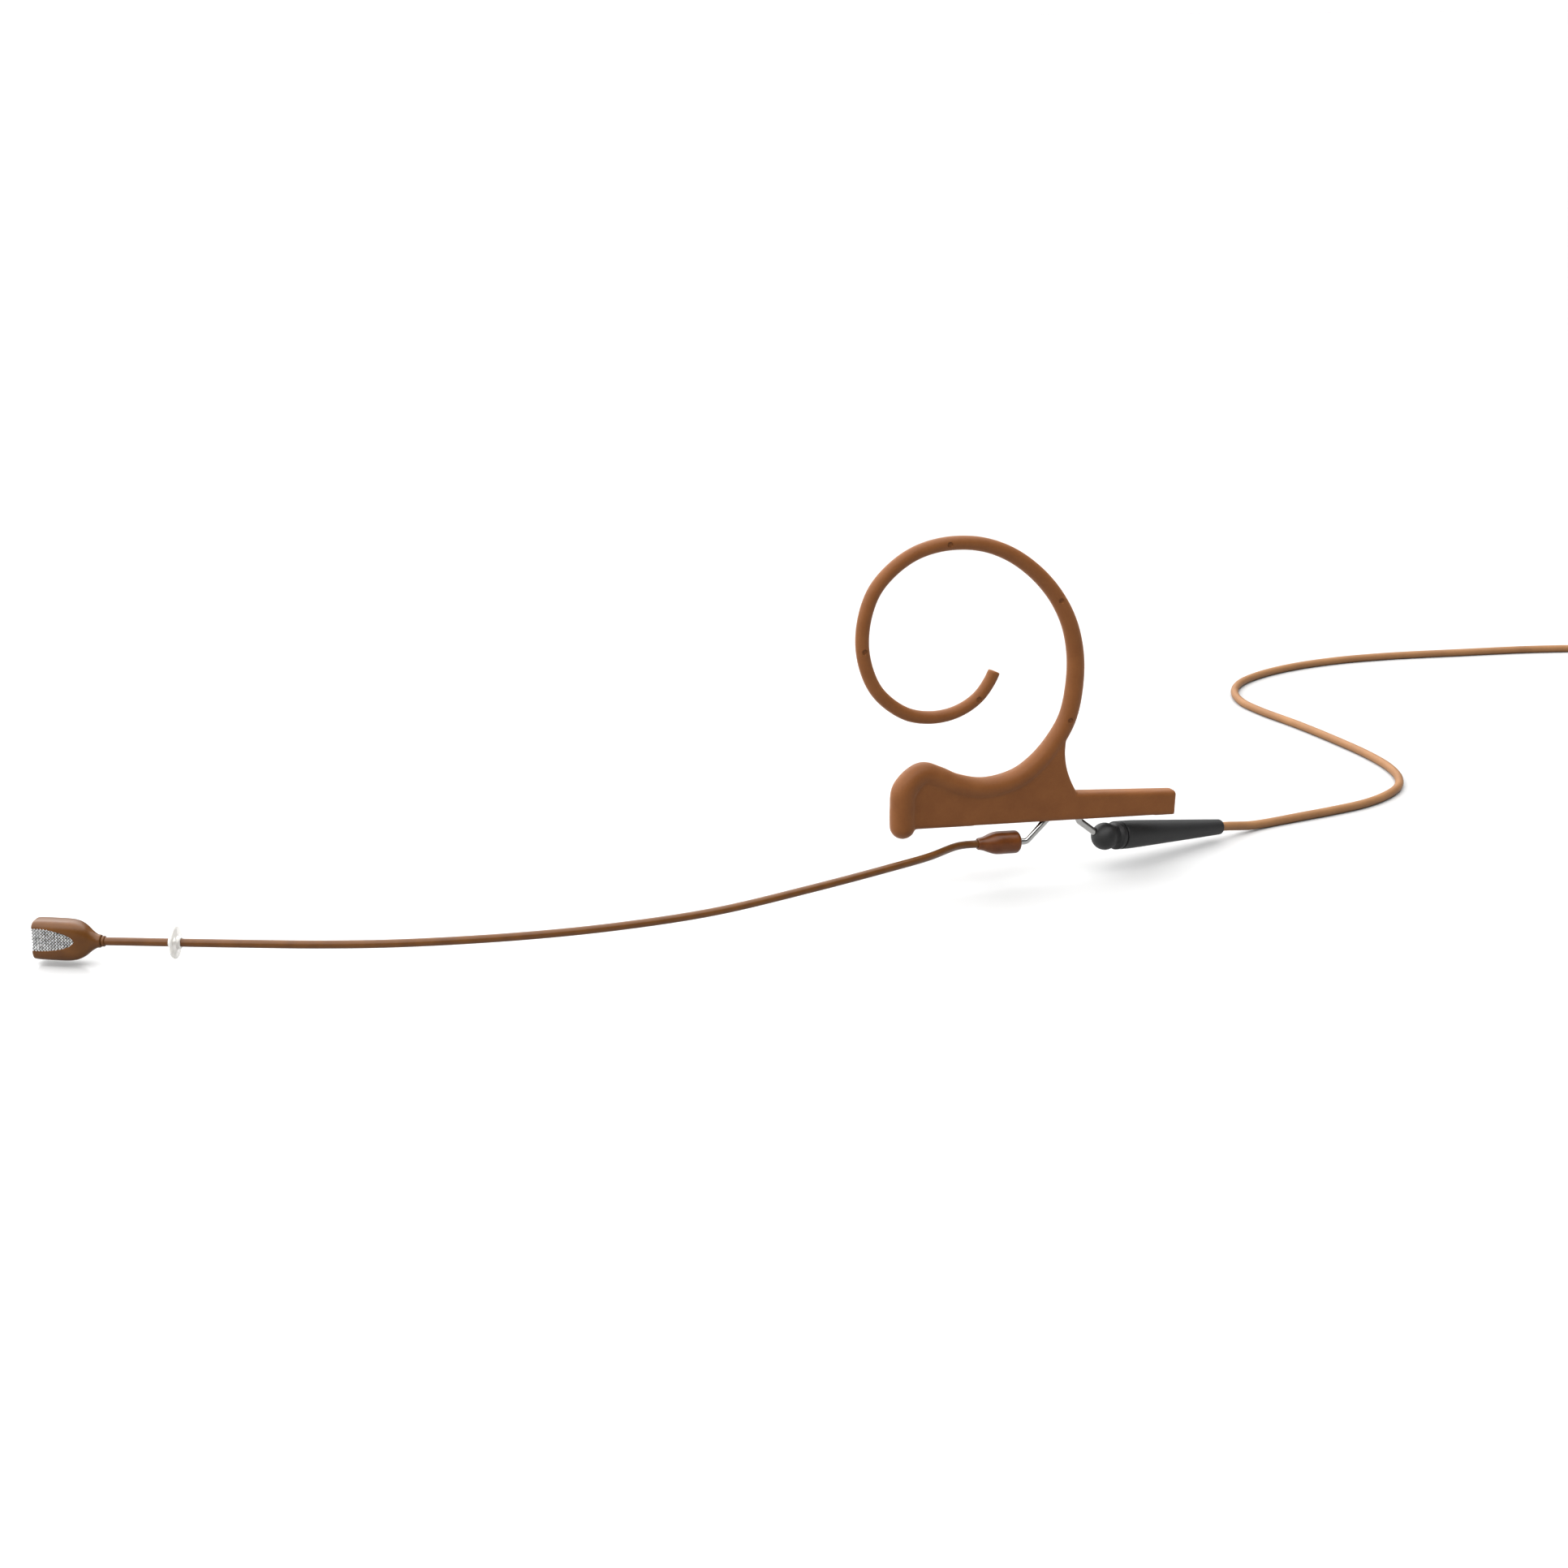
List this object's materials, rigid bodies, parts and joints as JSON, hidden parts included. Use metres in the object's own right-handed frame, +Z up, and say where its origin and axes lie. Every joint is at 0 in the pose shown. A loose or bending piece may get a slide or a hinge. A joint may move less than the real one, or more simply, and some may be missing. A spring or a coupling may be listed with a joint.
{
  "type": "headset microphone",
  "caption": "Single-ear headset microphone: soft ear hook on a sliding rail, thin boom with a flat capsule head and drip ring, and a plug-in cable wound into a coil.",
  "frame": {"origin": "centre of the ear hook's loop, in the hook's middle plane", "axes": "+X towards the back of the head along the boom's run, +Y towards the wearer's head, +Z up"},
  "size_m": [0.365, 0.1325, 0.0605],
  "materials": {
    "silicone_brown": "matt moulded silicone, mid brown",
    "spring_steel": "drawn wire",
    "stainless_tube": "polished stainless tube",
    "soft_sleeve": "matt",
    "boom_paint": "satin brown paint",
    "head_paint": "satin brown paint",
    "collar_paint": "satin brown paint",
    "coupler_plastic": "semi-gloss dark brown moulding",
    "grille_mesh": "fine woven wire",
    "gold_plate": "gold plated",
    "board": "solder mask",
    "nickel": "nickel plated",
    "insulator_white": "white fluoropolymer",
    "drip_ring_clear": "translucent silicone",
    "black_rubber": "matt black moulded elastomer",
    "cable_jacket": "satin tan-brown jacket",
    "tie_fabric": "black hook-and-loop strap"
  },
  "bodies": {
    "boom_set": {"capsule_housing": "head_paint", "capsule_grille": "grille_mesh", "capsule_cartridge": "gold_plate", "capsule_board": "board", "head_collar": "collar_paint", "boom_tube": "boom_paint", "signal_lead": "cable_jacket", "coupler_shell": "coupler_plastic", "coupler_bushing": "nickel", "carrier_tube": "stainless_tube", "knuckle_housing": "black_rubber", "socket_barrel": "gold_plate", "socket_insulator": "insulator_white", "socket_contact": "gold_plate", "plug_body": "gold_plate", "plug_insulator": "insulator_white", "plug_pin": "gold_plate", "crimp_ferrule": "nickel", "cable_in_sleeve": "cable_jacket", "cable_run": "cable_jacket", "cable_coil": "cable_jacket", "coil_tie": "tie_fabric", "cable_tail": "cable_jacket", "end_boot": "black_rubber", "end_shell": "gold_plate", "end_insulator": "insulator_white", "end_pin": "gold_plate"},
    "grip_sleeve": {"grip_sleeve": "soft_sleeve"},
    "ear_hook": {"hook_body": "silicone_brown", "hook_core_wire": "spring_steel"},
    "drip_ring": {"drip_ring": "drip_ring_clear"},
    "plug_sleeve": {"plug_sleeve": "black_rubber", "coupling_nut": "gold_plate"},
    "end_nut": {"end_nut": "nickel"}
  },
  "joints": [
    {"name": "hook_tilt", "type": "hinge", "parent": "boom_set", "child": "grip_sleeve", "pos_m": [0.01835, 0, -0.02728], "axis": [0.9985, 0, -0.0541], "range_deg": [-10, 10]},
    {"name": "rail_slide", "type": "slide", "parent": "grip_sleeve", "child": "ear_hook", "axis": [0.9985, 0, -0.0541], "range_m": [-0.012, 0.012]},
    {"name": "drip_ring_slide", "type": "slide", "parent": "boom_set", "child": "drip_ring", "axis": [0.8746, -0.4841, 0.0279], "range_m": [-0.004, 0.004]},
    {"name": "plug_sleeve_turn", "type": "hinge", "parent": "boom_set", "child": "plug_sleeve", "pos_m": [0.02611, 0, -0.03296], "axis": [0.9456, 0.2981, -0.1305], "continuous": true},
    {"name": "end_nut_turn", "type": "hinge", "parent": "boom_set", "child": "end_nut", "pos_m": [0.2094, 0.0505, -0.0369], "axis": [-0.1045, -0.9945, 0], "continuous": true}
  ]
}
